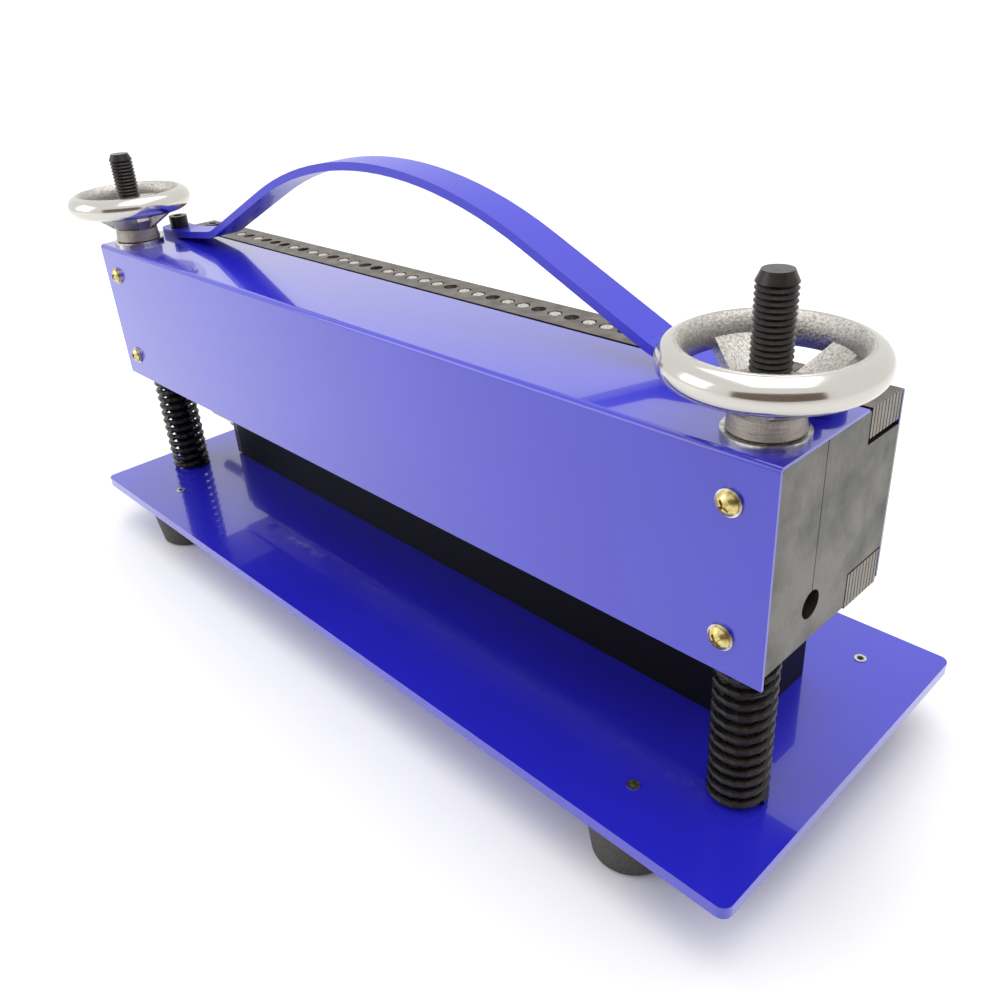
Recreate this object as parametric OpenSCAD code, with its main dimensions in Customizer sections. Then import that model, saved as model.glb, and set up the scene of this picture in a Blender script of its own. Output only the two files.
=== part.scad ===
// Twin-screw pin-driving press for flat belt ends.
// X runs along the head, Y from the front cover to the back, Z up.
// The origin is on the floor, under the middle of the base plate.

/* [Base] */
// Length of the base plate
plate_len = 450; // [440:1:600]
// Depth of the base plate, front to back
plate_depth = 162; // [155:1:220]
// Thickness of the base plate
plate_t = 5; // [3:0.5:10]
// Corner radius of the base plate
plate_corner = 4; // [1:0.5:12]
// Height of the rubber feet
foot_h = 25; // [24:1:40]
// Radius of a foot where it meets the plate
foot_top_r = 18.5; // [10:0.5:19]
// Radius of a foot on the floor
foot_low_r = 15.5; // [8:0.5:19]

/* [Head] */
// Length of the head over its end blocks
head_len = 430; // [425:1:440]
// Depth of the head over its two covers
head_depth = 72; // [72:1:80]
// Height of the end blocks
block_h = 70; // [65:1:90]
// Clear height between base plate and end blocks
head_lift = 69; // [60:1:80]
// Thickness of the sheet covers
cover_t = 1; // [1:0.25:2]
// How far the front cover hangs below the end blocks
cover_hang = 5; // [0:0.5:8]
// Distance from the front of the head to the front edge of the base plate
head_setback = 27.5; // [20:0.5:40]

/* [Screw rods] */
// Outer diameter of the screw rods
rod_d = 12; // [10:0.5:12]
// Thread pitch of the screw rods
thread_pitch = 1.75; // [1.25:0.25:2]
// Distance between the two screw rods
rod_spacing = 400; // [395:1:405]
// Distance of the rods behind the front of the head
rod_inset = 16.5; // [16:0.5:17]
// Height of the rod ends above the floor
rod_top = 217.5; // [212:0.5:240]

/* [Springs] */
// Outer diameter of the coil springs
spring_d = 22; // [19:0.5:24]
// Wire diameter of the coil springs
spring_wire = 3; // [1.5:0.1:3.2]
// Number of turns in a spring
spring_turns = 14.5; // [10:0.5:16]

/* [Handwheels] */
// Outer diameter of a handwheel
wheel_d = 64; // [60:1:66]
// Diameter of the round rim section
wheel_rim_d = 11; // [8:0.5:12]
// Height of the middle of the rim above the front cover
wheel_rise = 22.7; // [20:0.1:26]
// Diameter of the hub
hub_d = 23; // [20:0.5:25]
// Radial clearance of the threaded hub on the rod
hub_clearance = 0.05; // [0.02:0.01:0.1]

/* [Drive pins] */
// Number of drive pins
pin_count = 40; // [40:1:40]
// Distance from pin to pin
pin_pitch = 9; // [8:0.25:9]
// Diameter of a drive pin
pin_d = 5.4; // [4:0.1:5.6]
// Length of a drive pin
pin_len = 72; // [68:1:74]
// Number of pins that are moved together
pins_per_group = 5; // [5:1:5]

/* [Handle] */
// Width of the flat bar that the handle is bent from
handle_w = 16; // [12:0.5:16]
// Thickness of the handle
handle_t = 3.5; // [3:0.25:5]
// Height of the arch above the front cover
handle_rise = 55.5; // [45:0.5:60]
// Radius of the arch, on its top face
handle_arch_r = 213; // [200:1:225]
// Slope of the straight legs, in degrees
handle_slope = 25; // [22:0.5:27]

/* [Hidden] */

$fn = 64;
eps = 0.5;

// Levels
plate_top = foot_h + plate_t;
block_low = plate_top + head_lift;
block_top = block_low + block_h;
cover_top = block_top + cover_t;

// Planes from front to back
head_front = -plate_depth / 2 + head_setback;
head_back = head_front + head_depth;
block_front = head_front + cover_t;
block_back = head_back - cover_t;
rod_y = head_front + rod_inset;
rod_x = rod_spacing / 2;

// Feet: the front pair stands further in, clear of the nuts under the plate
foot_places = [[171.5, -59.5], [-171.5, -59.5], [197.5, 58], [-197.5, 58]];
stud_d = 5;
stud_socket_d = 2.9;
stud_bottom = 8;

// Nuts and washers under the plate
rod_nut_flats = 19;
rod_nut_h = 8;
plate_washer_d = 24;
plate_washer_t = 2;
rod_below_nut = 2;
rod_bottom = foot_h - plate_washer_t - rod_nut_h - rod_below_nut;
thread_low = 118;
thread_depth = 0.7;

// End blocks: a wide front part around the rod, a narrow back part beside the pins
block_front_w = 40;
block_back_w = 31;
block_step_y = -5;
rod_bore_r = rod_d / 2 + 0.1;
end_socket_d = 10;
end_socket_depth = 8;
end_socket_y = -28.2;
end_socket_z = plate_top + 82.7;
scribe_w = 0.35;
scribe_depth = 0.2;

// Guide bars lie in notches along the back of the end blocks
bar_end_gap = 0.2;
bar_len = head_len - 2 * bar_end_gap;
bar_relief = 4;
bar_front_gap = 1.2;
top_bar_gap = 1.7;
low_bar_gap = 1;
cutter_mark_w = 0.6;
cutter_mark_depth = 0.12;
cutter_mark_pitch = 2.2;
top_bar_front = -3;
top_bar_low = block_top - 11.5;
top_bar_top = block_top + 0.5;
low_bar_front = -5;
low_bar_low = block_low - 1.5;
low_bar_top = block_low + 13;
bar_screw_x = 198.5;
bar_screw_d = 5;

// Drive pins: F is flush with the bar, R is recessed, D is deep
pin_state = "FFRFRDDFDFFRFFRDFFFFFRFFRFFRFRFFRFFFRFFF";
pin_flush = 0.2;
pin_recess = 1.6;
pin_deep = 7;
pin_y = 8;
pin_hole_top_r = pin_d / 2 + 0.4;
pin_hole_low_r = pin_d / 2 + 0.05;
pin_tip = 0.6;

// Spine bar between the end blocks, with a tongue in a slot of each block
spine_front = -28;
spine_depth = 22;
spine_h = 40;
tongue_len = 15;
tongue_h = 12;
spine_screw_d = 5;

// Anvil and die strip
anvil_len = 370;
anvil_front = -9.5;
anvil_back = 33.5;
anvil_top = plate_top + 38;
die_len = 366;
die_w = 20;
die_sunk = 4.5;
die_top = anvil_top + 7.5;
die_socket_r = pin_d / 2 + 0.3;
die_socket_depth = 10.5;
anvil_screw_d = 8;
anvil_screw_x = 140;
anvil_y = (anvil_front + anvil_back) / 2;
end_screw_d = 4;
end_screw_y = [10, 24];
end_screw_z = plate_top + 18;
end_plate_t = 5;
end_plate_gap = 1;
end_plate_h = 34;
gauge_y = -4.5;
gauge_z = plate_top + 20.5;
gauge_d = 4;
gauge_len = 120;
gauge_collar_d = 9.5;
gauge_collar_t = 5;
grip_d = 7;
grip_len = 24;

// Cover screws
cover_screw_d = 4;
cover_screw_z = [block_low + 8.5, block_low + 55.5];
cover_washer_d = 9;
cover_washer_t = 0.8;
pan_head_d = 7.6;
pan_head_h = 2.6;
back_screw_z = [block_low + 22, block_low + 48];
back_screw_x = 206;
cover_inner_r = 1;
cover_bend_r = cover_t + cover_inner_r;
cover_flange_back = -4.5;

// Screw lengths under the head, and how much deeper their holes are
anvil_screw_len = 20;
end_screw_len = 14;
spine_screw_len = 22;
cover_screw_len = 9;
bar_screw_len = 20;
handle_screw_len = 20;
hole_spare = 1;
hole_play = 0.2;
cover_hole_depth = cover_screw_len - cover_t + hole_spare / 2;

// Seats of the sunk screw heads
spine_head_sunk = 6;
top_head_sunk = 3;
low_head_sunk = 5.5;
sunk_head_d = 9;

// Handle
handle_y = head_front + 41.3;
handle_screw_x = 199;
handle_screw_d = 6;
handle_end_x = 211;
handle_bend_r = 25;
handle_foot_top = cover_top + handle_t;
arch_centre_z = cover_top + handle_rise - handle_arch_r;
leg_start = [handle_arch_r * sin(handle_slope), arch_centre_z + handle_arch_r * cos(handle_slope)];

// The feet lift off the cover a little between the screw and the bend
foot_tilt = 7;
tilt_start = [190, handle_foot_top];
tilt_up = [sin(foot_tilt), cos(foot_tilt)];
leg_up = [sin(handle_slope), cos(handle_slope)];

// Centre of the bend: one bend radius above both the tilted foot and the leg
tilt_reach = handle_bend_r + tilt_start * tilt_up;
leg_reach = handle_bend_r + leg_start * leg_up;
bend_turn = tilt_up[0] * leg_up[1] - tilt_up[1] * leg_up[0];
bend_x = (tilt_reach * leg_up[1] - leg_reach * tilt_up[1]) / bend_turn;
bend_z = (tilt_up[0] * leg_reach - leg_up[0] * tilt_reach) / bend_turn;
tilt_end = [bend_x, bend_z] - handle_bend_r * tilt_up;
leg_len = norm([bend_x, bend_z] - handle_bend_r * leg_up - leg_start);

// Handwheels
hub_washer_d = 26;
hub_washer_t = 1.8;
hub_gap = 0.05;
hub_low = cover_top + hub_washer_t + hub_gap;
hub_h = 14;
rim_r = (wheel_d - wheel_rim_d) / 2;
rim_z = cover_top + wheel_rise;
rim_inner_r = rim_r - 3.2;
rim_inside_curve = 7.2;
spoke_count = 4;
spoke_w_hub = 11;
spoke_w_rim = 12;
spoke_t = 5;
spoke_high = rim_z + 0.8;
spoke_fall = 11.8;

// Springs
spring_low = plate_top;
spring_high = block_low;
wire_sides = 8;
ring_per_turn = 16;

blue = "#2a28c0";
steel = "#8c8880";
black = "#1e1b1a";

// ---- small shapes ----

module tube(r_out, r_in, h) {
    difference() {
        cylinder(r = r_out, h = h);
        translate([0, 0, -eps]) cylinder(r = r_in, h = h + 2 * eps);
    }
}

module rounded_slab(size, r) {
    linear_extrude(size[2]) {
        square([size[0] - 2 * r, size[1]], center = true);
        square([size[0], size[1] - 2 * r], center = true);
        for (sx = [-1, 1], sy = [-1, 1])
            translate([sx * (size[0] / 2 - r), sy * (size[1] / 2 - r)]) circle(r);
    }
}

// Socket head cap screw pointing down, its head standing on z = 0
module cap_screw(d, len, head_d, head_h) {
    translate([0, 0, -len]) cylinder(d = d, h = len);
    difference() {
        cylinder(d = head_d, h = head_h);
        translate([0, 0, head_h * 0.4]) cylinder(d = head_d * 0.55, h = head_h, $fn = 6);
    }
}

// Cross recess pan head screw pointing down, its head standing on z = 0
module pan_screw(d, len) {
    dome_r = 5;
    translate([0, 0, -len]) cylinder(d = d, h = len);
    difference() {
        rotate_extrude() intersection() {
            translate([0, pan_head_h - dome_r]) circle(dome_r);
            square([pan_head_d / 2, pan_head_h]);
        }
        for (turn = [45, 135])
            rotate(turn) translate([-2.1, -0.5, 1.2]) cube([4.2, 1, 3]);
    }
}

// Both ends of something built at the right end
module both_ends() {
    children();
    mirror([1, 0, 0]) children();
}

// ---- base ----

module base_plate() {
    color(blue) difference() {
        translate([0, 0, foot_h]) rounded_slab([plate_len, plate_depth, plate_t], plate_corner);
        for (side = [-1, 1])
            translate([side * rod_x, rod_y, foot_h - eps]) cylinder(d = rod_d, h = plate_t + 2 * eps);
        for (place = foot_places)
            translate([place[0], place[1], foot_h - eps]) cylinder(d = stud_d, h = plate_t + 2 * eps);
        for (step = [-1:1])
            translate([step * anvil_screw_x, anvil_y, foot_h - eps])
                cylinder(d = anvil_screw_d + hole_play, h = plate_t + 2 * eps);
    }
}

module rubber_feet() {
    color("#4a4642") for (place = foot_places)
        translate([place[0], place[1], 0]) difference() {
            rotate_extrude() polygon([
                [0, 0], [foot_low_r - 1.5, 0], [foot_low_r, 1.5], [foot_top_r, foot_h - 1.5],
                [foot_top_r - 1, foot_h], [0, foot_h]
            ]);
            translate([0, 0, stud_bottom]) cylinder(d = stud_d, h = foot_h);
        }
}

module foot_studs() {
    color("#b8a878") for (place = foot_places)
        translate([place[0], place[1], stud_bottom]) difference() {
            cylinder(d = stud_d, h = plate_top + 0.3 - stud_bottom);
            translate([0, 0, plate_top - 3 - stud_bottom]) cylinder(d = stud_socket_d, h = 5, $fn = 6);
        }
}

// Threaded rod: one revolved outline with a groove for every turn of the thread
module screw_rod(side) {
    r = rod_d / 2;
    groove_count = floor((rod_top - 2 - thread_low) / thread_pitch);
    grooves = [for (i = [0 : groove_count - 1]) each [
        [r, thread_low + i * thread_pitch],
        [r - thread_depth, thread_low + (i + 0.5) * thread_pitch]
    ]];
    thread_end = thread_low + groove_count * thread_pitch;
    color(black) translate([side * rod_x, rod_y, 0]) rotate_extrude() polygon(concat(
        [[0, rod_bottom], [r - 1, rod_bottom], [r, rod_bottom + 1]],
        grooves,
        [[r, thread_end], [r - 1.5, rod_top], [0, rod_top]]
    ));
}

module screw_rod_left() screw_rod(-1);
module screw_rod_right() screw_rod(1);

module rod_nuts() {
    color(black) for (side = [-1, 1])
        translate([side * rod_x, rod_y, foot_h - plate_washer_t - rod_nut_h]) difference() {
            cylinder(d = rod_nut_flats / cos(30), h = rod_nut_h, $fn = 6);
            translate([0, 0, -eps]) cylinder(d = rod_d, h = rod_nut_h + 2 * eps);
        }
}

module rod_nut_washers() {
    color(black) for (side = [-1, 1])
        translate([side * rod_x, rod_y, foot_h - plate_washer_t])
            tube(plate_washer_d / 2, rod_d / 2, plate_washer_t);
}

module anvil_bar() {
    die_front = pin_y - die_w / 2;
    color("#1b1a22") difference() {
        translate([-anvil_len / 2, anvil_front, plate_top])
            cube([anvil_len, anvil_back - anvil_front, anvil_top - plate_top]);
        translate([-anvil_len / 2 - eps, die_front, anvil_top - die_sunk])
            cube([anvil_len + 2 * eps, die_w, die_sunk + eps]);
        for (step = [-1:1])
            translate([step * anvil_screw_x, anvil_y, plate_top - eps])
                cylinder(d = anvil_screw_d, h = anvil_screw_len - plate_t + hole_spare + eps);
        translate([-anvil_len / 2 - eps, gauge_y, gauge_z]) rotate([0, 90, 0])
            cylinder(d = gauge_d + 0.1, h = gauge_len + 2 + eps);
        for (y = end_screw_y)
            translate([-anvil_len / 2 - eps, y, end_screw_z]) rotate([0, 90, 0])
                cylinder(d = end_screw_d, h = end_screw_len - end_plate_t + hole_spare + eps);
    }
}

module die_strip() {
    die_front = pin_y - die_w / 2;
    color(steel) difference() {
        translate([-die_len / 2, die_front, anvil_top - die_sunk])
            cube([die_len, die_w, die_top - anvil_top + die_sunk]);
        for (i = [0 : pin_count - 1])
            translate([pin_x(i), pin_y, die_top - die_socket_depth])
                cylinder(r = die_socket_r, h = die_socket_depth + eps);
    }
}

module anvil_screws() {
    color(black) for (step = [-1:1])
        translate([step * anvil_screw_x, anvil_y, foot_h])
            rotate([180, 0, 0]) cap_screw(anvil_screw_d, anvil_screw_len, 13, 5);
}

module anvil_end_plate() {
    color("#3a3836") difference() {
        translate([-anvil_len / 2 - end_plate_t, anvil_front, plate_top + end_plate_gap])
            cube([end_plate_t, anvil_back - anvil_front, end_plate_h]);
        translate([-anvil_len / 2 - end_plate_t - eps, gauge_y, gauge_z]) rotate([0, 90, 0])
            cylinder(d = gauge_d + 0.1, h = end_plate_t + 2 * eps);
        for (y = end_screw_y)
            translate([-anvil_len / 2 - end_plate_t - eps, y, end_screw_z]) rotate([0, 90, 0])
                cylinder(d = end_screw_d, h = end_plate_t + 2 * eps);
    }
}

module end_plate_screws() {
    color("#d8cf9a") for (y = end_screw_y)
        translate([-anvil_len / 2 - end_plate_t, y, end_screw_z]) rotate([0, -90, 0])
            pan_screw(end_screw_d, end_screw_len);
}

module gauge_pin() {
    outer_x = -anvil_len / 2 - end_plate_t;
    color("#c8c4bc") translate([outer_x, gauge_y, gauge_z]) {
        rotate([0, 90, 0]) cylinder(d = gauge_d, h = gauge_len);
        rotate([0, -90, 0]) cylinder(d = gauge_collar_d, h = gauge_collar_t);
    }
}

module gauge_pin_grip() {
    outer_x = -anvil_len / 2 - end_plate_t - gauge_collar_t;
    color(black) translate([outer_x, gauge_y, gauge_z]) rotate([0, -90, 0]) {
        cylinder(d = grip_d, h = grip_len);
        translate([0, 0, grip_len]) sphere(d = grip_d);
    }
}

// ---- springs ----

// Height of the wire's middle along the coil: a flat half turn at each end, an even pitch between
function wire_z(turn) =
    let (rise = spring_high - spring_low - spring_wire, share = (turn - 0.5) / (spring_turns - 1))
    spring_low + spring_wire / 2 + rise * min(1, max(0, share));

// One polyhedron that follows the coil, with a ring of points across the wire at each step
module coil_spring(side) {
    steps = spring_turns * ring_per_turn;
    coil_r = (spring_d - spring_wire) / 2;
    wire_r = spring_wire / 2;
    points = [for (s = [0 : steps], k = [0 : wire_sides - 1])
        let (
            around = 360 * s / ring_per_turn,
            across = 360 * k / wire_sides,
            r = coil_r + wire_r * cos(across)
        )
        [r * cos(around), r * sin(around), wire_z(s / ring_per_turn) + wire_r * sin(across)]];
    skin = [for (s = [0 : steps - 1], k = [0 : wire_sides - 1])
        let (a = s * wire_sides + k, b = s * wire_sides + (k + 1) % wire_sides)
        each [[a, b, b + wire_sides], [a, b + wire_sides, a + wire_sides]]];
    start_cap = [[for (k = [wire_sides - 1 : -1 : 0]) k]];
    end_cap = [[for (k = [0 : wire_sides - 1]) steps * wire_sides + k]];
    color(black) translate([side * rod_x, rod_y, 0])
        polyhedron(points, concat(skin, start_cap, end_cap), convexity = 10);
}

module spring_left() coil_spring(-1);
module spring_right() coil_spring(1);

// ---- head ----

module right_end_block() {
    outer = head_len / 2;
    notch = 60;
    handle_hole_low = handle_foot_top - handle_screw_len - hole_spare;
    top_hole_low = top_bar_top - top_head_sunk - bar_screw_len - hole_spare;
    low_hole_top = low_bar_low + low_head_sunk + bar_screw_len + hole_spare;
    spine_hole_low = block_top - spine_head_sunk - spine_screw_len;
    difference() {
        union() {
            translate([outer - block_front_w, block_front, block_low])
                cube([block_front_w, block_step_y - block_front, block_h]);
            translate([outer - block_back_w, block_step_y, block_low])
                cube([block_back_w, block_back - block_step_y, block_h]);
        }
        translate([outer - notch, top_bar_front, top_bar_low]) cube([2 * notch, notch, notch]);
        translate([outer - notch, low_bar_front, block_low - eps])
            cube([2 * notch, notch, low_bar_top - block_low + eps]);
        translate([rod_x, rod_y, block_low - eps]) cylinder(r = rod_bore_r, h = block_h + 2 * eps);
        translate([outer - end_socket_depth, end_socket_y, end_socket_z]) rotate([0, 90, 0])
            cylinder(d = end_socket_d, h = end_socket_depth + eps);
        translate([outer - block_front_w - eps, block_front, block_top - cover_inner_r])
            rotate([45, 0, 0]) translate([0, -cover_inner_r, 0])
                cube([block_front_w + 2 * eps, 3 * cover_inner_r, 2 * cover_inner_r]);
        translate([outer - scribe_depth, end_socket_y - scribe_w / 2, end_socket_z])
            cube([scribe_depth + eps, scribe_w, block_h]);
        translate([outer - block_front_w - eps, spine_front, block_top - tongue_h])
            cube([tongue_len + eps, spine_depth, tongue_h + eps]);
        translate([spine_screw_x(), spine_front + spine_depth / 2, spine_hole_low])
            cylinder(d = spine_screw_d, h = spine_screw_len);
        for (z = cover_screw_z)
            translate([rod_x, block_front - eps, z]) rotate([-90, 0, 0])
                cylinder(d = cover_screw_d, h = cover_hole_depth + eps);
        for (z = back_screw_z)
            translate([back_screw_x, block_back + eps, z]) rotate([90, 0, 0])
                cylinder(d = cover_screw_d, h = cover_hole_depth + eps);
        translate([handle_screw_x, handle_y, handle_hole_low])
            cylinder(d = handle_screw_d, h = block_top + eps - handle_hole_low);
        translate([bar_screw_x, pin_y, top_hole_low])
            cylinder(d = bar_screw_d, h = top_bar_low + eps - top_hole_low);
        translate([bar_screw_x, pin_y, low_bar_top - eps])
            cylinder(d = bar_screw_d, h = low_hole_top + eps - low_bar_top);
    }
}

module end_block_right() color(steel) right_end_block();
module end_block_left() color(steel) mirror([1, 0, 0]) right_end_block();

function spine_screw_x() = head_len / 2 - block_front_w + tongue_len / 2;

module spine_bar() {
    inner_len = head_len - 2 * block_front_w;
    spine_y = spine_front + spine_depth / 2;
    color(steel) difference() {
        union() {
            translate([-inner_len / 2, spine_front, block_top - spine_h])
                cube([inner_len, spine_depth, spine_h]);
            translate([-inner_len / 2 - tongue_len, spine_front, block_top - tongue_h])
                cube([inner_len + 2 * tongue_len, spine_depth, tongue_h]);
        }
        both_ends() {
            translate([spine_screw_x(), spine_y, block_top - tongue_h - eps])
                cylinder(d = spine_screw_d, h = tongue_h + 2 * eps);
            translate([spine_screw_x(), spine_y, block_top - spine_head_sunk])
                cylinder(d = sunk_head_d, h = spine_head_sunk + eps);
        }
    }
}

module spine_screws() {
    color(black) both_ends()
        translate([spine_screw_x(), spine_front + spine_depth / 2, block_top - spine_head_sunk])
            cap_screw(spine_screw_d, spine_screw_len, sunk_head_d, 5);
}

// Folded sheet: a front wall and a top flange, joined by a round bend
module front_cover() {
    wall_low = block_low - cover_hang;
    fold_y = head_front + cover_bend_r;
    fold_z = cover_top - cover_bend_r;
    color(blue) difference() {
        translate([-head_len / 2, 0, 0]) rotate([90, 0, 90]) linear_extrude(head_len) {
            translate([head_front, wall_low]) square([cover_t, fold_z - wall_low]);
            translate([fold_y, block_top]) square([cover_flange_back - fold_y, cover_t]);
            intersection() {
                translate([fold_y, fold_z]) difference() {
                    circle(cover_bend_r);
                    circle(cover_bend_r - cover_t);
                }
                translate([head_front, fold_z]) square([cover_bend_r, cover_bend_r]);
            }
        }
        both_ends() {
            translate([rod_x, rod_y, block_top - eps]) cylinder(r = rod_bore_r + 0.4, h = 4);
            translate([handle_screw_x, handle_y, block_top - eps]) cylinder(d = handle_screw_d, h = 4);
            for (z = cover_screw_z)
                translate([rod_x, head_front - eps, z]) rotate([-90, 0, 0])
                    cylinder(d = cover_screw_d, h = 4);
        }
    }
}

module cover_screws() {
    color("#d8cf9a") both_ends() for (z = cover_screw_z)
        translate([rod_x, head_front - cover_washer_t, z]) rotate([90, 0, 0])
            pan_screw(cover_screw_d, cover_screw_len);
}

module cover_screw_washers() {
    color("#dcdcdc") both_ends() for (z = cover_screw_z)
        translate([rod_x, head_front, z]) rotate([90, 0, 0])
            tube(cover_washer_d / 2, cover_screw_d / 2, cover_washer_t);
}

module back_cover() {
    color(blue) difference() {
        translate([-head_len / 2, block_back, block_low + 0.5])
            cube([head_len, cover_t, block_h - 0.5]);
        both_ends() for (z = back_screw_z)
            translate([back_screw_x, block_back - eps, z]) rotate([-90, 0, 0])
                cylinder(d = cover_screw_d, h = 4);
    }
}

module back_cover_screws() {
    color("#d8cf9a") both_ends() for (z = back_screw_z)
        translate([back_screw_x, head_back, z]) rotate([-90, 0, 0])
            pan_screw(cover_screw_d, cover_screw_len);
}

function pin_x(i) = (i - (pin_count - 1) / 2) * pin_pitch;

function pin_drop(i) =
    pin_state[i] == "F" ? pin_flush : pin_state[i] == "R" ? pin_recess : pin_deep;

// Upright marks of the milling cutter across the right end of a guide bar
module cutter_marks(front, low) {
    count = floor((block_back - front) / cutter_mark_pitch);
    for (i = [0 : count - 1])
        translate([bar_len / 2 - cutter_mark_depth, front + (i + 0.6) * cutter_mark_pitch, low - eps])
            cube([cutter_mark_depth + eps, cutter_mark_w, 20]);
}

module top_guide_bar() {
    bar_h = top_bar_top - top_bar_low;
    color(steel) difference() {
        translate([-bar_len / 2, top_bar_front + bar_front_gap, top_bar_low])
            cube([bar_len, block_back - top_bar_front - bar_front_gap, bar_h]);
        both_ends() {
            translate([bar_len / 2 - bar_relief, top_bar_front, top_bar_low - eps])
                cube([bar_relief + eps, 40, top_bar_gap + eps]);
            cutter_marks(top_bar_front + bar_front_gap, top_bar_low);
            translate([bar_screw_x, pin_y, top_bar_low - eps])
                cylinder(d = bar_screw_d + hole_play, h = 20);
            translate([bar_screw_x, pin_y, top_bar_top - top_head_sunk])
                cylinder(d = sunk_head_d, h = top_head_sunk + eps);
        }
        for (i = [0 : pin_count - 1])
            translate([pin_x(i), pin_y, top_bar_low - eps])
                cylinder(r = pin_hole_top_r, h = bar_h + 2 * eps);
    }
}

module bottom_guide_bar() {
    bar_h = low_bar_top - low_bar_low;
    color(steel) difference() {
        translate([-bar_len / 2, low_bar_front + bar_front_gap, low_bar_low])
            cube([bar_len, block_back - low_bar_front - bar_front_gap, bar_h]);
        both_ends() {
            translate([bar_len / 2 - bar_relief, low_bar_front, low_bar_top - low_bar_gap])
                cube([bar_relief + eps, 40, low_bar_gap + eps]);
            cutter_marks(low_bar_front + bar_front_gap, low_bar_low);
            translate([bar_screw_x, pin_y, low_bar_low - eps])
                cylinder(d = bar_screw_d + hole_play, h = 20);
            translate([bar_screw_x, pin_y, low_bar_low - eps])
                cylinder(d = sunk_head_d, h = low_head_sunk + eps);
        }
        for (i = [0 : pin_count - 1])
            translate([pin_x(i), pin_y, low_bar_low - eps])
                cylinder(r = pin_hole_low_r, h = bar_h + 2 * eps);
    }
}

module top_bar_screws() {
    color(black) both_ends() translate([bar_screw_x, pin_y, top_bar_top - top_head_sunk])
        cap_screw(bar_screw_d, bar_screw_len, 8.5, 5);
}

module bottom_bar_screws() {
    color(black) both_ends() translate([bar_screw_x, pin_y, low_bar_low + low_head_sunk])
        rotate([180, 0, 0]) cap_screw(bar_screw_d, bar_screw_len, 8.5, 5);
}

// Part of a ring between two directions less than 90 degrees apart
module ring_sector(r_out, r_in, from, to) {
    reach = 2 * r_out;
    intersection() {
        difference() {
            circle(r_out, $fn = 180);
            circle(r_in, $fn = 180);
        }
        polygon([[0, 0], reach * [cos(from), sin(from)], reach * [cos(to), sin(to)]]);
    }
}

// Outline of the arch and its two legs, seen from the front
module handle_outline() {
    translate([0, arch_centre_z])
        ring_sector(handle_arch_r, handle_arch_r - handle_t, 90 - handle_slope, 90 + handle_slope);
    for (side = [0, 1]) mirror([side, 0]) {
        translate(leg_start) rotate(-handle_slope) translate([0, -handle_t])
            square([leg_len, handle_t]);
        translate([bend_x, bend_z])
            ring_sector(handle_bend_r + handle_t, handle_bend_r, -90 - handle_slope, -90 - foot_tilt);
        translate(tilt_end) rotate(-foot_tilt) translate([0, -handle_t])
            square([norm(tilt_start - tilt_end), handle_t]);
    }
}

module carrying_handle() {
    color(blue) {
        translate([0, handle_y + handle_w / 2, 0]) rotate([90, 0, 0])
            linear_extrude(handle_w) handle_outline();
        both_ends() difference() {
            translate([0, handle_y, cover_top]) linear_extrude(handle_t) {
                foot_end = handle_end_x - handle_w / 2;
                foot_start = tilt_start[0] - 1;
                translate([foot_start, -handle_w / 2]) square([foot_end - foot_start, handle_w]);
                translate([foot_end, 0]) circle(d = handle_w);
            }
            translate([handle_screw_x, handle_y, cover_top - eps])
                cylinder(d = handle_screw_d + hole_play, h = handle_t + 2 * eps);
        }
    }
}

module handle_screws() {
    color(black) both_ends() translate([handle_screw_x, handle_y, handle_foot_top])
        cap_screw(handle_screw_d, handle_screw_len, 10, 6.5);
}

module hub_washer(side) {
    color("#d0cdc6") translate([side * rod_x, rod_y, cover_top])
        tube(hub_washer_d / 2, rod_bore_r + 0.1, hub_washer_t);
}

module hub_washer_left() hub_washer(-1);
module hub_washer_right() hub_washer(1);

// ---- handwheels ----

// Dished wheel: rim flatter on its inside, four broad spokes that slope down to a threaded hub
module handwheel(side, turn) {
    hub_r = hub_d / 2;
    hub_top = hub_low + hub_h;
    color("#d6d6d4") translate([side * rod_x, rod_y, 0]) rotate(turn) difference() {
        union() {
            translate([0, 0, rim_z]) rotate_extrude() intersection() {
                translate([rim_r, 0]) circle(d = wheel_rim_d);
                translate([rim_inner_r + rim_inside_curve, 0]) circle(rim_inside_curve);
            }
            rotate_extrude() polygon([
                [0, hub_low], [hub_r - 0.5, hub_low], [hub_r, hub_low + 0.5],
                [hub_r - 0.6, hub_low + 6], [hub_r + 1, hub_top - 3],
                [hub_r - 1.5, hub_top], [0, hub_top]
            ]);
            intersection() {
                rotate_extrude() polygon([
                    [hub_r - 3, spoke_high - spoke_fall - spoke_t], [rim_r - 1, spoke_high - spoke_t],
                    [rim_r - 1, spoke_high], [hub_r - 3, spoke_high - spoke_fall]
                ]);
                for (i = [0 : spoke_count - 1]) rotate(i * 360 / spoke_count)
                    translate([0, 0, hub_low]) linear_extrude(rim_z) polygon([
                        [4, -spoke_w_hub / 2], [rim_r, -spoke_w_rim / 2],
                        [rim_r, spoke_w_rim / 2], [4, spoke_w_hub / 2]
                    ]);
            }
        }
        translate([0, 0, hub_low - eps])
            cylinder(r = rod_d / 2 + hub_clearance, h = hub_h + 2 * eps);
    }
}

module handwheel_left() handwheel(-1, 45);
module handwheel_right() handwheel(1, 60);

// ---- drive pins ----

module drive_pins(group) {
    first = (group - 1) * pins_per_group;
    r = pin_d / 2;
    color("#d8d4cc") for (i = [first : first + pins_per_group - 1])
        translate([pin_x(i), pin_y, top_bar_top - pin_drop(i) - pin_len])
            rotate_extrude() polygon([
                [0, 0], [r - pin_tip, 0], [r, pin_tip], [r, pin_len - 0.3], [r - 0.3, pin_len], [0, pin_len]
            ]);
}

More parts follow.
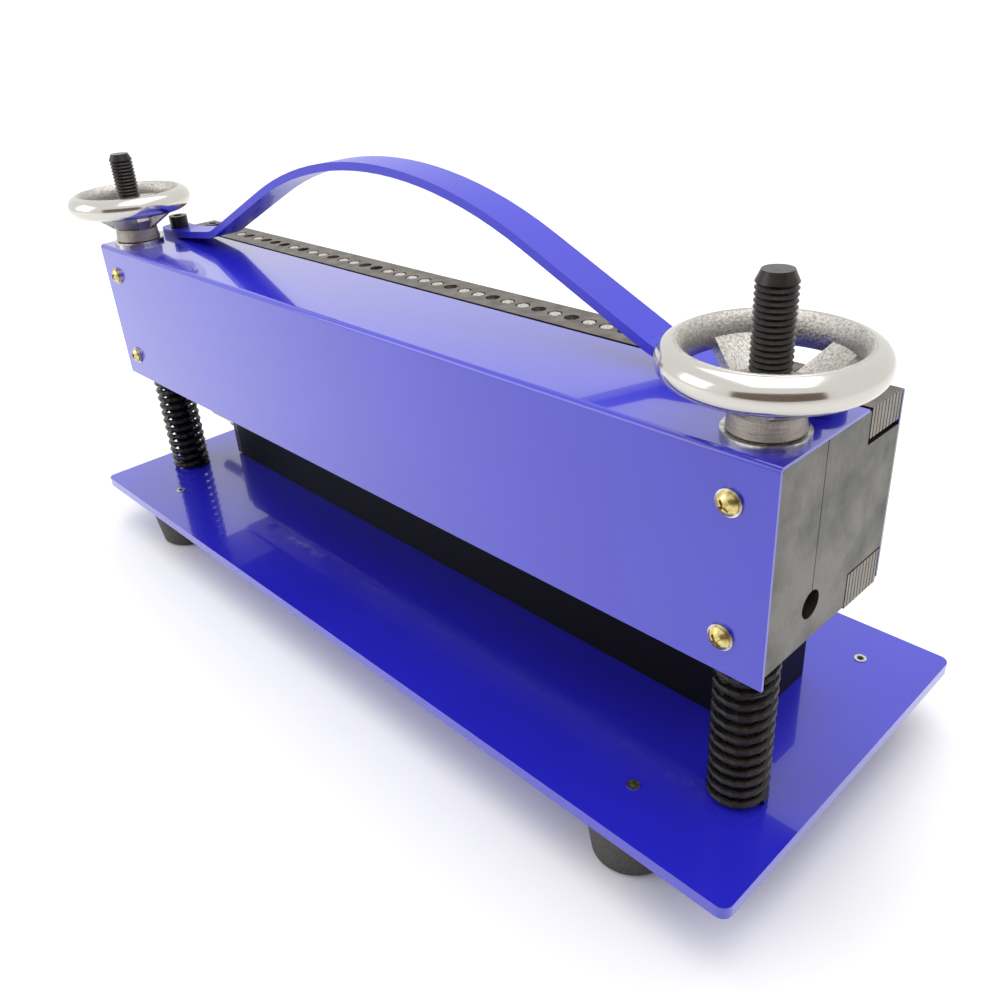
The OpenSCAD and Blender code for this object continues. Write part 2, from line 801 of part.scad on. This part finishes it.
module drive_pins_1() drive_pins(1);
module drive_pins_2() drive_pins(2);
module drive_pins_3() drive_pins(3);
module drive_pins_4() drive_pins(4);
module drive_pins_5() drive_pins(5);
module drive_pins_6() drive_pins(6);
module drive_pins_7() drive_pins(7);
module drive_pins_8() drive_pins(8);

base_plate();
rubber_feet();
foot_studs();
screw_rod_left();
screw_rod_right();
rod_nuts();
rod_nut_washers();
anvil_bar();
die_strip();
anvil_screws();
anvil_end_plate();
end_plate_screws();
gauge_pin();
gauge_pin_grip();
spring_left();
spring_right();
end_block_left();
end_block_right();
spine_bar();
spine_screws();
front_cover();
cover_screws();
cover_screw_washers();
back_cover();
back_cover_screws();
top_guide_bar();
bottom_guide_bar();
top_bar_screws();
bottom_bar_screws();
carrying_handle();
handle_screws();
hub_washer_left();
hub_washer_right();
handwheel_left();
handwheel_right();
drive_pins_1();
drive_pins_2();
drive_pins_3();
drive_pins_4();
drive_pins_5();
drive_pins_6();
drive_pins_7();
drive_pins_8();
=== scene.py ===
"""Looks of a twin-screw pin-driving press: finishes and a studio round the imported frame."""
import math

import bpy
from bpy.props import FloatProperty, FloatVectorProperty, PointerProperty, StringProperty
from bpy.types import Operator, Panel, PropertyGroup
from mathutils import Euler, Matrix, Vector


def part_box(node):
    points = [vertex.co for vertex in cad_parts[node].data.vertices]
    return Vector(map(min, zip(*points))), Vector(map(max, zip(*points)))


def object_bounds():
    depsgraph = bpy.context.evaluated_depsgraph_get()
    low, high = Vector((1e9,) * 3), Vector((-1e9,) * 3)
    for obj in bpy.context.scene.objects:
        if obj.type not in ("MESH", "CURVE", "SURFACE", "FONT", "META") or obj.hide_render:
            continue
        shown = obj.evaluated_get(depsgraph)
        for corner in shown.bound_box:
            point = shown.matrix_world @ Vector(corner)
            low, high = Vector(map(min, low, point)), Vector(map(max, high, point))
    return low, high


bl_info = {
    "name": "Pin-driving press looks",
    "version": (1, 0, 0),
    "blender": (4, 5, 0),
    "location": "3D View > Sidebar > Press",
    "description": "Finishes and a studio for a twin-screw pin-driving press",
    "category": "Object",
}

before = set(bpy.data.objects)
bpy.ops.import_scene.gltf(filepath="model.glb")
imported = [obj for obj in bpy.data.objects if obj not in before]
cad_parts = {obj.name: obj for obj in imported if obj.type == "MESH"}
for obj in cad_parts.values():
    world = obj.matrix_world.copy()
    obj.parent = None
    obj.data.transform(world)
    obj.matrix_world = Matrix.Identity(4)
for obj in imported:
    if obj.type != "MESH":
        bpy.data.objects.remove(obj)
CAD_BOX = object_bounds()

MM = 0.001
EDGE_RADIUS = 0.3 * MM      # broken edges of machined steel
PAINT_EDGE_RADIUS = 1.1 * MM  # paint rounds off the edges of sheet metal
CAST_EDGE_RADIUS = 0.8 * MM  # fettled edges of the castings
POLISHED_FROM = 27.2 * MM   # radius where the polished part of a handwheel's rim starts
SAND_CAST_TO = 26.2 * MM    # radius where the rough casting inside the rim ends
HUB_TURNED_TO = 12.8 * MM   # radius that the turned hub reaches
HUB_FADE_TO = 13.2 * MM     # radius where the spokes' finish has taken over
END_FACE_SLOPE = 0.5        # a face counts as an end when its normal's X part is larger
HANDLE_ROUGHNESS = 0.32
HANDLE_COAT = 0.2
ANVIL_ROUGHNESS = 0.4
GRIP_ROUGHNESS = 0.35
PAINTED_GAP_SHADE = "#121016"     # painted shade: near black on the back cover's end faces, standing in for the shadow gap between end block and cover
CHROME_SHADE = "#827D76"    # hollows of the cast grit
FLOOR_COLOUR = "#FCFCFC"
CARD_COLOUR = "#6E5F56"
FLOOR_GAP = 0.2 * MM        # the floor lies this far under the feet


# ---- colours and nodes ----

def linear(hex_colour):
    """sRGB hex colour as linear red, green, blue and alpha."""
    parts = [int(hex_colour[i:i + 2], 16) / 255 for i in (1, 3, 5)]
    return [c / 12.92 if c <= 0.04045 else ((c + 0.055) / 1.055) ** 2.4 for c in parts] + [1.0]


def add_node(material, kind, settings=None, links=None):
    """Adds a node. settings maps sockets or attributes to values, links maps sockets to outputs."""
    node = material.node_tree.nodes.new(kind)
    for name, value in (settings or {}).items():
        if name in node.inputs:
            node.inputs[name].default_value = value
        else:
            setattr(node, name, value)
    for name, output in (links or {}).items():
        material.node_tree.links.new(output, node.inputs[name])
    return node


def new_material(name):
    """An empty node material and its surface output."""
    material = bpy.data.materials.new(name)
    material.use_nodes = True
    material.node_tree.nodes.clear()
    return material, add_node(material, "ShaderNodeOutputMaterial")


def place(material, scale=(1, 1, 1)):
    """Object coordinates in metres, stretched by scale, as a vector output."""
    where = add_node(material, "ShaderNodeTexCoord")
    mapping = add_node(material, "ShaderNodeMapping", {"Scale": scale}, {"Vector": where.outputs["Object"]})
    return mapping.outputs[0]


def ramp(material, factor, stops):
    """Colour ramp over factor; stops are (position, colour) pairs."""
    node = add_node(material, "ShaderNodeValToRGB", links={"Fac": factor})
    first, last = node.color_ramp.elements[0], node.color_ramp.elements[1]
    first.position, first.color = stops[0]
    last.position, last.color = stops[-1]
    for position, colour in stops[1:-1]:
        node.color_ramp.elements.new(position).color = colour
    return node.outputs["Color"]


def grey(value):
    return (value, value, value, 1.0)


def end_faces(material):
    """1 on faces that look more along X than not, such as the guide bars' sawn ends and the back cover's end
    faces that get painted shade, and 0 elsewhere.
    """
    where = add_node(material, "ShaderNodeTexCoord")
    parts = add_node(material, "ShaderNodeSeparateXYZ", links={"Vector": where.outputs["Normal"]})
    along = add_node(material, "ShaderNodeMath", {"operation": "ABSOLUTE"})
    material.node_tree.links.new(parts.outputs["X"], along.inputs[0])
    ends = add_node(material, "ShaderNodeMath", {"operation": "GREATER_THAN"})
    ends.inputs[1].default_value = END_FACE_SLOPE
    material.node_tree.links.new(along.outputs[0], ends.inputs[0])
    return ends.outputs[0]


def mix(material, factor, colour_off, colour_on):
    """colour_off where factor is 0 and colour_on where it is 1; each is an output or a fixed colour."""
    node = add_node(material, "ShaderNodeMixRGB", links={"Fac": factor})
    for socket, colour in (("Color1", colour_off), ("Color2", colour_on)):
        if isinstance(colour, bpy.types.NodeSocket):
            material.node_tree.links.new(colour, node.inputs[socket])
        else:
            node.inputs[socket].default_value = colour
    return node.outputs[0]


def finish_surface(material, output, settings, links, height=None, depth=0.0):
    """Principled shader, with bump of the given depth in metres where there is a height."""
    shader = add_node(material, "ShaderNodeBsdfPrincipled", settings, links)
    if height is not None:
        bump = add_node(material, "ShaderNodeBump", {"Distance": depth}, {"Height": height})
        material.node_tree.links.new(bump.outputs[0], shader.inputs["Normal"])
    material.node_tree.links.new(shader.outputs[0], output.inputs["Surface"])
    return material


# ---- finishes ----

def gloss_enamel(name, colour, roughness, coat=1.0, shine=0.5, painted_end_shade=None):
    """Sprayed enamel on sheet steel, orange peel about 2.5 mm across; an end colour, when given, is painted
    shade on the end faces, standing in for a shadow gap.
    """
    material, output = new_material(name)
    peel = add_node(material, "ShaderNodeTexNoise", {"Scale": 1 / (2.5 * MM), "Detail": 1.0},
                    {"Vector": place(material)})
    cloud = add_node(material, "ShaderNodeTexNoise", {"Scale": 1 / (60 * MM), "Detail": 2.0},
                     {"Vector": place(material)})
    tone = ramp(material, cloud.outputs["Fac"],
                [(0.35, linear(colour)), (0.65, [c * 1.08 for c in linear(colour)[:3]] + [1.0])])
    # painted shade: the end faces take the dark end colour in place of a shadow gap
    if painted_end_shade is not None:
        tone = mix(material, end_faces(material), tone, linear(painted_end_shade))
    rough = ramp(material, cloud.outputs["Fac"], [(0.3, grey(roughness)), (0.7, grey(roughness + 0.05))])
    return finish_surface(
        material, output,
        {"IOR": 1.5, "Specular IOR Level": shine, "Coat Weight": coat, "Coat Roughness": 0.03},
        {"Base Color": tone, "Roughness": rough}, peel.outputs["Fac"], 0.006 * MM)


def ground_steel(name, light, dark):
    """Surface-ground mild steel: faint lines 0.6 mm apart, oil stains in clouds about 25 mm across."""
    material, output = new_material(name)
    lines = add_node(material, "ShaderNodeTexNoise", {"Scale": 1 / (0.6 * MM), "Detail": 2.0},
                     {"Vector": place(material, (1.0, 1.0, 0.25))})
    stain = add_node(
        material, "ShaderNodeTexNoise", {"Scale": 1 / (25 * MM), "Detail": 6.0, "Roughness": 0.6},
        {"Vector": place(material)})
    fine = ramp(material, lines.outputs["Fac"], [(0.3, grey(0.86)), (0.7, grey(1.0))])
    cloud = ramp(material, stain.outputs["Fac"], [(0.38, linear(dark)), (0.62, linear(light))])
    tone = add_node(material, "ShaderNodeMixRGB", {"blend_type": "MULTIPLY", "Fac": 1.0},
                    {"Color1": cloud, "Color2": fine})
    rough = ramp(material, stain.outputs["Fac"], [(0.3, grey(0.5)), (0.7, grey(0.36))])
    return finish_surface(
        material, output, {"Metallic": 1.0},
        {"Base Color": tone.outputs[0], "Roughness": rough}, lines.outputs["Fac"], 0.008 * MM)


def blackened_bar(name, light, dark, sawn):
    """Drilled guide bar: thin dark oxide on milled steel, sawn ends with upright strokes 0.7 mm apart."""
    material, output = new_material(name)
    oxide = add_node(material, "ShaderNodeTexNoise", {"Scale": 1 / (6 * MM), "Detail": 5.0},
                     {"Vector": place(material)})
    strokes = add_node(material, "ShaderNodeTexNoise", {"Scale": 1 / (0.7 * MM), "Detail": 2.0},
                       {"Vector": place(material, (1.0, 1.0, 0.12))})
    skin = ramp(material, oxide.outputs["Fac"], [(0.35, linear(dark)), (0.65, linear(light))])
    bright = ramp(material, strokes.outputs["Fac"], [(0.35, linear(light)), (0.6, linear(sawn))])
    tone = mix(material, end_faces(material), skin, bright)
    return finish_surface(material, output, {"Metallic": 1.0, "Roughness": 0.42}, {"Base Color": tone},
                          strokes.outputs["Fac"], 0.012 * MM)


def black_oxide_steel(name, light, dark):
    """Oil-blackened steel: near black with a brown cast, duller in patches about 3 mm across."""
    material, output = new_material(name)
    patch = add_node(material, "ShaderNodeTexNoise", {"Scale": 1 / (3 * MM), "Detail": 5.0},
                     {"Vector": place(material)})
    tone = ramp(material, patch.outputs["Fac"], [(0.35, linear(dark)), (0.7, linear(light))])
    rough = ramp(material, patch.outputs["Fac"], [(0.3, grey(0.2)), (0.7, grey(0.38))])
    return finish_surface(material, output, {"Metallic": 0.4}, {"Base Color": tone, "Roughness": rough},
                          patch.outputs["Fac"], 0.008 * MM)


def zinc_plate(name, light, dark):
    """Passivated zinc on steel: thin bright plating with cloudy colour in patches about 2 mm across."""
    material, output = new_material(name)
    cloud = add_node(material, "ShaderNodeTexNoise", {"Scale": 1 / (2 * MM), "Detail": 3.0},
                     {"Vector": place(material)})
    tone = ramp(material, cloud.outputs["Fac"], [(0.3, linear(dark)), (0.65, linear(light))])
    return finish_surface(material, output, {"Metallic": 1.0, "Roughness": 0.26}, {"Base Color": tone},
                          cloud.outputs["Fac"], 0.004 * MM)


def cast_chrome(name, bright, shade, hub, axis):
    """Chromed cast iron: polished rim, 0.9 mm sand grit inside it, duller turned hub, rings 0.5 mm apart."""
    material, output = new_material(name)
    where = add_node(material, "ShaderNodeTexCoord")
    offset = add_node(material, "ShaderNodeVectorMath", {"operation": "SUBTRACT"})
    offset.inputs[1].default_value = axis
    material.node_tree.links.new(where.outputs["Object"], offset.inputs[0])
    flat = add_node(material, "ShaderNodeVectorMath", {"operation": "MULTIPLY"})
    flat.inputs[1].default_value = (1, 1, 0)
    material.node_tree.links.new(offset.outputs[0], flat.inputs[0])
    radius = add_node(material, "ShaderNodeVectorMath", {"operation": "LENGTH"})
    material.node_tree.links.new(flat.outputs[0], radius.inputs[0])
    cast = add_node(material, "ShaderNodeMapRange", {
        "From Min": SAND_CAST_TO, "From Max": POLISHED_FROM, "To Min": 1.0, "To Max": 0.0},
        {"Value": radius.outputs["Value"]})
    turned = add_node(material, "ShaderNodeMapRange", {
        "From Min": HUB_TURNED_TO, "From Max": HUB_FADE_TO, "To Min": 1.0, "To Max": 0.0},
        {"Value": radius.outputs["Value"]})
    grit = add_node(
        material, "ShaderNodeTexNoise", {"Scale": 1 / (0.9 * MM), "Detail": 4.0, "Roughness": 0.7},
        {"Vector": where.outputs["Object"]})
    grain = add_node(material, "ShaderNodeMath", {"operation": "MULTIPLY"})
    material.node_tree.links.new(grit.outputs["Fac"], grain.inputs[0])
    material.node_tree.links.new(cast.outputs["Result"], grain.inputs[1])
    sand = ramp(material, grit.outputs["Fac"], [(0.42, linear(bright)), (0.72, linear(shade))])
    skin = mix(material, cast.outputs["Result"], linear(bright), sand)
    rings = add_node(material, "ShaderNodeTexNoise", {"Scale": 1 / (0.5 * MM), "Detail": 2.0},
                     {"Vector": place(material, (0.05, 0.05, 1.0))})
    turned_tone = ramp(material, rings.outputs["Fac"], [(0.3, linear(shade)), (0.5, linear(hub))])
    tone = mix(material, turned.outputs["Result"], skin, turned_tone)
    rough = ramp(material, cast.outputs["Result"], [(0.0, grey(0.16)), (1.0, grey(0.3))])
    return finish_surface(material, output, {"Metallic": 1.0}, {"Base Color": tone, "Roughness": rough},
                          grain.outputs[0], 0.35 * MM)


def turned_steel(name, light, dark):
    """Turned bright steel: tool rings about 0.4 mm apart."""
    material, output = new_material(name)
    rings = add_node(material, "ShaderNodeTexNoise", {"Scale": 1 / (0.8 * MM), "Detail": 3.0},
                     {"Vector": place(material, (1.0, 1.0, 2.0))})
    tone = ramp(material, rings.outputs["Fac"], [(0.35, linear(dark)), (0.6, linear(light))])
    return finish_surface(material, output, {"Metallic": 1.0, "Roughness": 0.28}, {"Base Color": tone},
                          rings.outputs["Fac"], 0.01 * MM)


def moulded_rubber(name, light, dark):
    """Moulded rubber: dull and slightly grainy, grain about 0.8 mm."""
    material, output = new_material(name)
    grain = add_node(material, "ShaderNodeTexNoise", {"Scale": 1 / (0.8 * MM), "Detail": 3.0},
                     {"Vector": place(material)})
    tone = ramp(material, grain.outputs["Fac"], [(0.3, linear(dark)), (0.7, linear(light))])
    return finish_surface(material, output, {"IOR": 1.5, "Roughness": 0.62}, {"Base Color": tone},
                          grain.outputs["Fac"], 0.03 * MM)


# ---- settings ----

def colour_setting(name, description, default):
    return StringProperty(name=name, description=description, default=default, maxlen=7)


class PressFinishSettings(PropertyGroup):
    """Colours and finishes of the press."""
    enamel: colour_setting("Enamel", "Blue enamel of plate, covers and handle", "#2624BE")
    anvil_enamel: colour_setting("Anvil enamel", "Near-black enamel of the anvil", "#0D0C14")
    steel_light: colour_setting("Steel, light", "Clean areas of ground steel", "#777570")
    steel_dark: colour_setting("Steel, dark", "Oil-stained areas of ground steel", "#5A5B57")
    bar_light: colour_setting("Guide bar, light", "Worn oxide of the guide bars", "#7C756D")
    bar_dark: colour_setting("Guide bar, dark", "Full oxide of the guide bars", "#5E5852")
    bar_sawn: colour_setting("Guide bar, sawn end", "Bright sawn ends of the guide bars", "#8E8A84")
    black_light: colour_setting("Black steel, light", "Worn tone of blackened steel", "#2B2623")
    black_dark: colour_setting("Black steel, dark", "Full tone of blackened steel", "#191614")
    zinc_yellow: colour_setting("Yellow zinc", "Yellow passivated screws", "#E0D49A")
    zinc_white: colour_setting("White zinc", "Clear passivated washers", "#DAD8D2")
    chrome: colour_setting("Chrome", "Plating of the handwheels", "#CCC9C3")
    hub_steel: colour_setting("Hub", "Turned hubs of the handwheels", "#9C968F")
    pin_steel: colour_setting("Pin steel", "Turned bright steel of the drive pins", "#DCD8D0")
    rubber: colour_setting("Rubber", "Moulded rubber of the feet", "#4C4844")
    enamel_roughness: FloatProperty(
        name="Enamel roughness", description="How dull the blue enamel is",
        default=0.15, min=0.0, max=1.0, subtype="FACTOR")


class PressStudioSettings(PropertyGroup):
    """Camera, floor and lights."""
    camera_place: FloatVectorProperty(
        name="Camera place", description="Where the camera stands", size=3,
        default=(0.3248, -0.2538, 0.2875), subtype="TRANSLATION", unit="LENGTH")
    camera_heading: FloatProperty(
        name="Camera heading", description="Turn of the camera to the left of the back direction",
        default=math.radians(47.18), subtype="ANGLE", unit="ROTATION")
    camera_tilt: FloatProperty(
        name="Camera tilt", description="How far the camera looks below the horizon",
        default=math.radians(27.58), subtype="ANGLE", unit="ROTATION")
    camera_roll: FloatProperty(
        name="Camera roll", description="Turn of the camera about its own axis",
        default=math.radians(3.62), subtype="ANGLE", unit="ROTATION")
    lens: FloatProperty(
        name="Lens", description="Focal length on a 36 mm sensor, in millimetres",
        default=33.68, min=10.0)
    floor_size: FloatProperty(
        name="Floor size", description="Side of the studio floor", default=30.0, min=1.0,
        subtype="DISTANCE", unit="LENGTH")
    key_power: FloatProperty(
        name="Key light", description="Power of the large light overhead, in watts",
        default=7.0, min=0.0)
    side_power: FloatProperty(
        name="Side light", description="Power of the light at the front left, in watts",
        default=4.0, min=0.0)
    sky: FloatProperty(
        name="Surround", description="Brightness of the white surround", default=1.05, min=0.0)


# ---- putting finishes on the frame ----

def settings():
    return bpy.context.scene.press_finish


def dress(nodes, material):
    """Gives each CAD node one material."""
    for name in nodes:
        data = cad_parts[name].data
        data.materials.clear()
        data.materials.append(material)


def break_edges(nodes, width, angle=40.0):
    """Rounds the hard edges of CAD nodes with a bevel."""
    for name in nodes:
        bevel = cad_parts[name].modifiers.new("broken_edges", "BEVEL")
        bevel.width = width
        bevel.segments = 2
        bevel.limit_method = "ANGLE"
        bevel.angle_limit = math.radians(angle)
        bevel.harden_normals = False
        bevel.use_clamp_overlap = True


def numbered(stem, count):
    return [f"{stem}_{i}" for i in range(1, count + 1)]


class PRESS_OT_enamelled_sheet(Operator):
    """Paint the plate and covers in gloss enamel, and the handle in satin"""
    bl_idname = "press.enamelled_sheet"
    bl_label = "Enamelled sheet"

    def execute(self, context):
        chosen = settings()
        enamel = gloss_enamel("gloss_blue_enamel", chosen.enamel, chosen.enamel_roughness)
        dress(["base_plate", "front_cover"], enamel)
        dress(["carrying_handle"], gloss_enamel(
            "satin_blue_enamel", chosen.enamel, HANDLE_ROUGHNESS, coat=HANDLE_COAT))
        # back cover: painted shade on its end faces, dark as the shadow gap between end block and cover
        dress(["back_cover"], gloss_enamel(
            "gloss_blue_enamel_painted_end_shade", chosen.enamel, chosen.enamel_roughness, painted_end_shade=PAINTED_GAP_SHADE))
        break_edges(["base_plate", "carrying_handle"], PAINT_EDGE_RADIUS)
        break_edges(["front_cover", "back_cover"], EDGE_RADIUS)
        return {"FINISHED"}


class PRESS_OT_ground_steel(Operator):
    """Finish blocks, spine and die strip as ground steel, and blacken the guide bars"""
    bl_idname = "press.ground_steel"
    bl_label = "Ground steel"

    def execute(self, context):
        chosen = settings()
        steel = ground_steel("surface_ground_steel", chosen.steel_light, chosen.steel_dark)
        dress(["end_block_left", "end_block_right", "spine_bar", "die_strip"], steel)
        dress(["top_guide_bar", "bottom_guide_bar"],
              blackened_bar("blackened_guide_bar", chosen.bar_light, chosen.bar_dark, chosen.bar_sawn))
        break_edges(["end_block_left", "end_block_right"], EDGE_RADIUS)
        return {"FINISHED"}


class PRESS_OT_black_steel(Operator):
    """Blacken the rods, nuts, springs and cap screws"""
    bl_idname = "press.black_steel"
    bl_label = "Blackened steel"

    def execute(self, context):
        chosen = settings()
        black = black_oxide_steel("black_oxide_steel", chosen.black_light, chosen.black_dark)
        dress(["screw_rod_left", "screw_rod_right", "rod_nuts", "rod_nut_washers", "anvil_screws",
               "anvil_end_plate", "spring_left", "spring_right", "spine_screws", "top_bar_screws",
               "bottom_bar_screws", "handle_screws"], black)
        for name in ("spring_left", "spring_right"):
            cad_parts[name].data.shade_smooth()
        return {"FINISHED"}


class PRESS_OT_anvil(Operator):
    """Paint the anvil near black, and make the gauge pin's grip black plastic"""
    bl_idname = "press.anvil"
    bl_label = "Anvil"

    def execute(self, context):
        chosen = settings()
        dress(["anvil_bar"], gloss_enamel(
            "satin_black_enamel", chosen.anvil_enamel, ANVIL_ROUGHNESS, coat=0.0, shine=0.1))
        dress(["gauge_pin_grip"], gloss_enamel("black_moulded_plastic", chosen.black_dark, GRIP_ROUGHNESS))
        break_edges(["anvil_bar"], PAINT_EDGE_RADIUS)
        return {"FINISHED"}


class PRESS_OT_plated_fasteners(Operator):
    """Plate the cover and end plate screws, washers and foot studs"""
    bl_idname = "press.plated_fasteners"
    bl_label = "Plated fasteners"

    def execute(self, context):
        chosen = settings()
        dress(["cover_screws", "back_cover_screws", "end_plate_screws"],
              zinc_plate("yellow_passivated_zinc", chosen.zinc_yellow, "#B59C55"))
        dress(["cover_screw_washers", "hub_washer_left", "hub_washer_right", "foot_studs"],
              zinc_plate("clear_passivated_zinc", chosen.zinc_white, "#9C9992"))
        break_edges(["hub_washer_left", "hub_washer_right"], EDGE_RADIUS)
        return {"FINISHED"}


class PRESS_OT_handwheels(Operator):
    """Chrome the cast handwheels, polished outside the rim's crest"""
    bl_idname = "press.handwheels"
    bl_label = "Handwheels"

    def execute(self, context):
        chosen = settings()
        for side in ("left", "right"):
            node = f"handwheel_{side}"
            low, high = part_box(node)
            axis = ((low.x + high.x) / 2, (low.y + high.y) / 2, 0.0)
            dress([node], cast_chrome(
                f"cast_chrome_{side}", chosen.chrome, CHROME_SHADE, chosen.hub_steel, axis))
            break_edges([node], CAST_EDGE_RADIUS, angle=25.0)
            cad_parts[node].data.shade_smooth()
        return {"FINISHED"}


class PRESS_OT_drive_pins(Operator):
    """Finish the drive pins and gauge pin as turned bright steel"""
    bl_idname = "press.drive_pins"
    bl_label = "Drive pins"

    def execute(self, context):
        chosen = settings()
        steel = turned_steel("turned_bright_steel", chosen.pin_steel, "#8F8A82")
        dress([*numbered("drive_pins", 8), "gauge_pin"], steel)
        return {"FINISHED"}


class PRESS_OT_rubber_feet(Operator):
    """Finish the feet as moulded rubber"""
    bl_idname = "press.rubber_feet"
    bl_label = "Rubber feet"

    def execute(self, context):
        dress(["rubber_feet"], moulded_rubber("moulded_rubber", settings().rubber, "#2B2825"))
        return {"FINISHED"}


# ---- studio ----

def area_light(name, place_at, look_at, size, power):
    data = bpy.data.lights.new(name, "AREA")
    data.shape = "RECTANGLE"
    data.size, data.size_y = size
    data.energy = power
    light = bpy.data.objects.new(name, data)
    bpy.context.scene.collection.objects.link(light)
    light.location = place_at
    light.rotation_euler = (Vector(look_at) - Vector(place_at)).to_track_quat("-Z", "Y").to_euler()


def stage_sheet(name, corners, colour):
    """A flat matt sheet of the studio."""
    mesh = bpy.data.meshes.new(name)
    mesh.from_pydata(corners, [], [(0, 1, 2, 3)])
    sheet = bpy.data.objects.new(name, mesh)
    bpy.context.scene.collection.objects.link(sheet)
    matt, output = new_material(f"matt_{name}")
    finish_surface(matt, output, {"Base Color": linear(colour), "Roughness": 0.9}, {})
    mesh.materials.append(matt)
    return sheet


class PRESS_OT_studio(Operator):
    """Set up the pale floor, soft lights and camera"""
    bl_idname = "press.studio"
    bl_label = "Studio"

    def execute(self, context):
        chosen = context.scene.press_studio
        half = chosen.floor_size / 2
        level = CAD_BOX[0].z - FLOOR_GAP
        stage_sheet("white_floor", [(-half, -half, level), (half, -half, level), (half, half, level),
                                    (-half, half, level)], FLOOR_COLOUR)
        card = stage_sheet("dark_card", [(0.1, -1.5, 0.05), (1.4, -0.2, 0.05), (1.4, -0.2, 0.8),
                                         (0.1, -1.5, 0.8)], CARD_COLOUR)
        card.visible_camera = False

        middle = (CAD_BOX[0] + CAD_BOX[1]) / 2
        area_light("key_overhead", (0.1, 0.1, 1.3), middle, (1.4, 0.9), chosen.key_power)
        area_light("side_front_left", (-0.9, -1.1, 0.7), middle, (0.9, 0.9), chosen.side_power)

        world = bpy.data.worlds.new("white_surround")
        world.use_nodes = True
        world.node_tree.nodes["Background"].inputs["Color"].default_value = grey(1.0)
        world.node_tree.nodes["Background"].inputs["Strength"].default_value = chosen.sky
        context.scene.world = world

        data = bpy.data.cameras.new("press_camera")
        data.lens = chosen.lens
        data.sensor_width = 36.0
        data.shift_x, data.shift_y = -0.0066, -0.0281
        data.clip_start = 0.01
        camera = bpy.data.objects.new("press_camera", data)
        bpy.context.scene.collection.objects.link(camera)
        camera.location = chosen.camera_place
        heading = Euler((math.pi / 2 - chosen.camera_tilt, 0.0, chosen.camera_heading)).to_matrix()
        roll = Euler((0.0, 0.0, -chosen.camera_roll)).to_matrix()
        camera.rotation_euler = (heading @ roll).to_euler()
        context.scene.camera = camera
        context.scene.view_settings.view_transform = "Standard"
        return {"FINISHED"}


OPERATORS = (
    PRESS_OT_enamelled_sheet,
    PRESS_OT_ground_steel,
    PRESS_OT_black_steel,
    PRESS_OT_anvil,
    PRESS_OT_plated_fasteners,
    PRESS_OT_handwheels,
    PRESS_OT_drive_pins,
    PRESS_OT_rubber_feet,
    PRESS_OT_studio,
)


class PRESS_PT_panel(Panel):
    """Lists the steps that dress the press"""
    bl_idname = "PRESS_PT_panel"
    bl_label = "Pin-driving press"
    bl_space_type = "VIEW_3D"
    bl_region_type = "UI"
    bl_category = "Press"

    def draw(self, context):
        for operator in OPERATORS:
            self.layout.operator(operator.bl_idname)
        for group in (context.scene.press_finish, context.scene.press_studio):
            for name in group.bl_rna.properties.keys():
                if name not in ("rna_type", "name"):
                    self.layout.prop(group, name)


CLASSES = (PressFinishSettings, PressStudioSettings, *OPERATORS, PRESS_PT_panel)


def register():
    for cls in CLASSES:
        bpy.utils.register_class(cls)
    bpy.types.Scene.press_finish = PointerProperty(type=PressFinishSettings)
    bpy.types.Scene.press_studio = PointerProperty(type=PressStudioSettings)


def unregister():
    del bpy.types.Scene.press_studio
    del bpy.types.Scene.press_finish
    for cls in reversed(CLASSES):
        bpy.utils.unregister_class(cls)


def main():
    register()
    for operator in OPERATORS:
        group, name = operator.bl_idname.split(".")
        getattr(getattr(bpy.ops, group), name)()


if __name__ == "__main__":
    main()
